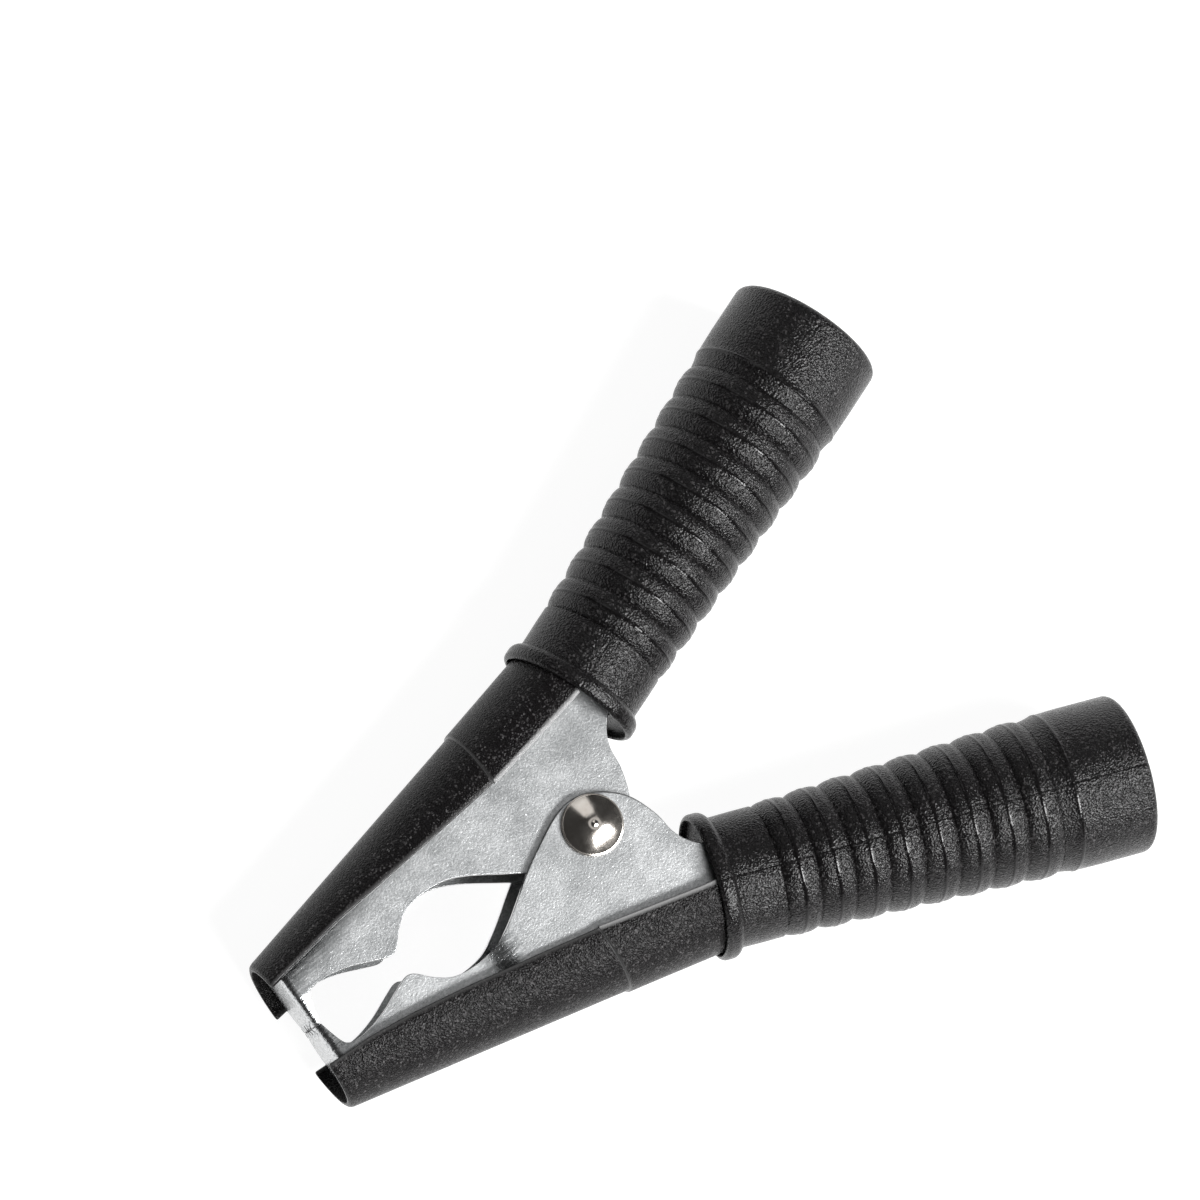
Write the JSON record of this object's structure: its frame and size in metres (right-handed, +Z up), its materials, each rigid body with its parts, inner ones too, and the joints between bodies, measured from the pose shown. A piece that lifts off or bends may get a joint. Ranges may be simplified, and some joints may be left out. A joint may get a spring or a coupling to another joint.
{
  "type": "insulated crocodile clamp",
  "caption": "Insulated spring clamp for a battery or test lead: nested steel jaws on a riveted pivot, with ribbed tubular grips and half-round tip covers.",
  "frame": {"origin": "under the middle of the clamp's outline, on the surface that it lies on; the pivot axis stands 13.82 mm towards the jaws", "axes": "+X along the centre line from the jaws to the grips, +Y across the clamp towards the upper half, +Z up, along the pivot axis"},
  "size_m": [0.1416, 0.1142, 0.0266],
  "materials": {
    "zinc_plated_steel": "matt zinc plate with a fine spangle",
    "nickel_rivet": "polished nickel",
    "plain_steel": "turned steel",
    "spring_steel": "oiled drawn wire",
    "cover_plastic": "spark-textured moulded plastic",
    "grip_plastic": "spark-textured moulded plastic with polished grooves"
  },
  "bodies": {
    "lower_half": {"lower_jaw": "zinc_plated_steel", "pivot_rivet": "nickel_rivet", "spacer_tube": "plain_steel", "torsion_spring": "spring_steel", "lower_cover": "cover_plastic", "lower_grip": "grip_plastic"},
    "upper_half": {"upper_jaw": "zinc_plated_steel", "upper_cover": "cover_plastic", "upper_grip": "grip_plastic"}
  },
  "joints": [
    {"name": "jaw_pivot", "type": "hinge", "parent": "lower_half", "child": "upper_half", "pos_m": [-0.01382, 0, 0.0133], "axis": [0, 0, -1], "range_deg": [0, 40], "stiffness_Nm_per_rad": 0.8, "springref_deg": -51.57, "deforming": ["torsion_spring"]}
  ]
}
